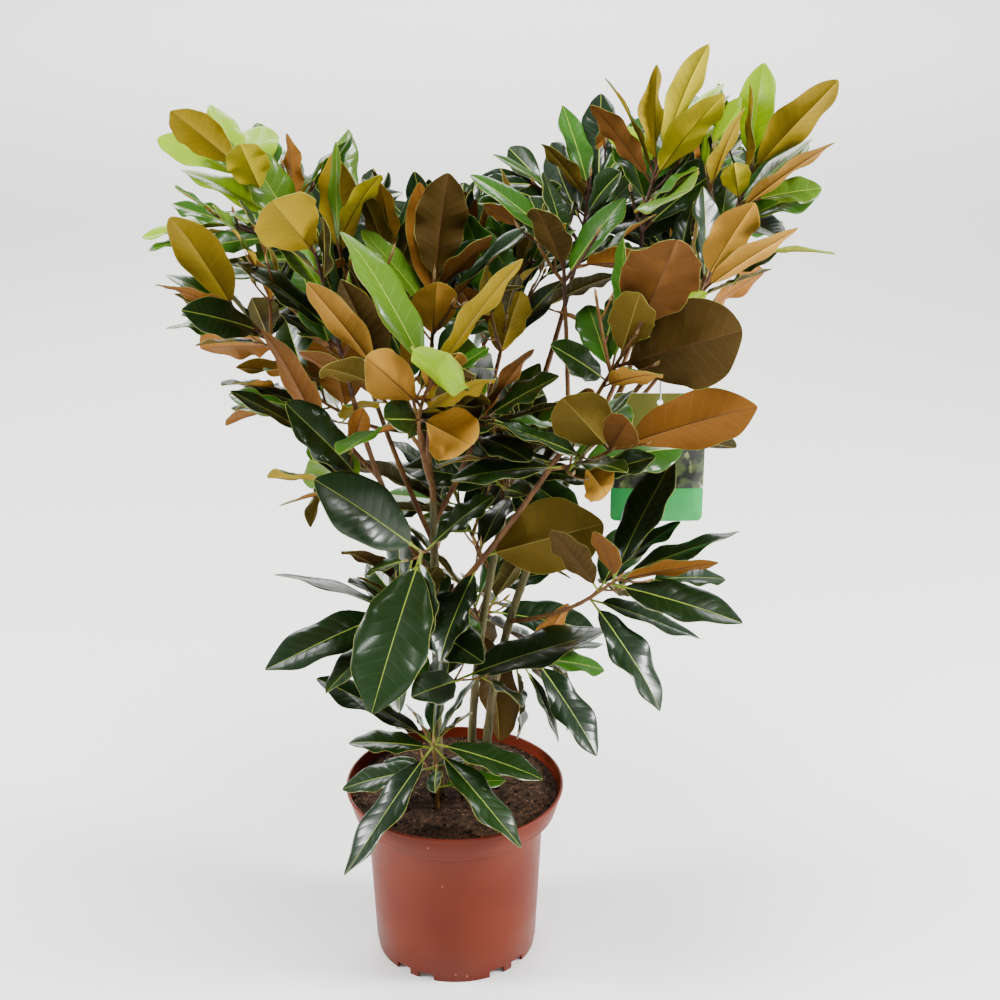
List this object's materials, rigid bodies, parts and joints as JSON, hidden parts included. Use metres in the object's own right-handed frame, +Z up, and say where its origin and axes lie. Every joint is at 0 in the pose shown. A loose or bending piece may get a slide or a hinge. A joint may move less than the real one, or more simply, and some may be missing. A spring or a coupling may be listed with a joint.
{
  "type": "potted evergreen tree",
  "caption": "Young evergreen tree with large leathery leaves, glossy green above and felted brown beneath, on slender stems in a round plastic nursery pot.",
  "frame": {"origin": "centre of the pot's flat underside, on the ground", "axes": "+Z up along the pot's axis; -Y is the front, where the lowest side shoot hangs over the rim; +X is to the right seen from the front"},
  "size_m": [0.6731, 0.5192, 0.9906],
  "materials": {
    "pot_plastic": "satin",
    "potting_soil": "matte",
    "bark": "matte",
    "leaves": "satin",
    "young_leaves": "satin",
    "label_card": "satin",
    "label_cord": "matte"
  },
  "bodies": {
    "root": {"pot": "pot_plastic", "soil": "potting_soil", "label": "label_card", "label_loop": "label_cord", "trunk": "bark", "stem_middle": "bark", "stem_right": "bark", "bough_left": "bark", "bough_left_far": "bark", "bough_left_top": "bark", "bough_left_back": "bark", "bough_centre": "bark", "bough_front": "bark", "bough_inner": "bark", "bough_right": "bark", "bough_right_inner": "bark", "bough_inner_top": "bark", "bough_back": "bark", "bough_right_top": "bark", "bough_right_far": "bark", "bough_right_back": "bark", "bough_right_side": "bark", "bough_low": "bark", "leaves_centre_front": "leaves", "leaves_low_front": "leaves", "leaves_left_top": "young_leaves", "leaves_left_front": "leaves", "leaves_left_far": "leaves", "leaves_left_upper": "leaves", "leaves_centre_left": "leaves", "leaves_left_mid": "leaves", "leaves_left_low": "leaves", "leaves_left_back": "leaves", "leaves_left_back_low": "leaves", "leaves_centre_top": "leaves", "leaves_centre_back": "leaves", "leaves_inner": "leaves", "leaves_centre_mid": "leaves", "leaves_inner_low": "leaves", "leaves_right_front": "leaves", "leaves_right_mid": "leaves", "leaves_right_inner": "leaves", "leaves_inner_top": "leaves", "leaves_right_top": "young_leaves", "leaves_right_far_top": "young_leaves", "leaves_right_far_mid": "leaves", "leaves_right_back": "leaves", "leaves_right_side": "leaves", "leaves_right_low": "leaves", "leaves_right_leaf": "leaves", "leaves_low_left": "leaves", "leaves_low_middle": "leaves", "leaves_low_back": "leaves", "leaves_low_right": "leaves", "leaves_back_mid": "leaves", "leaves_sprout": "leaves"}
  },
  "joints": []
}
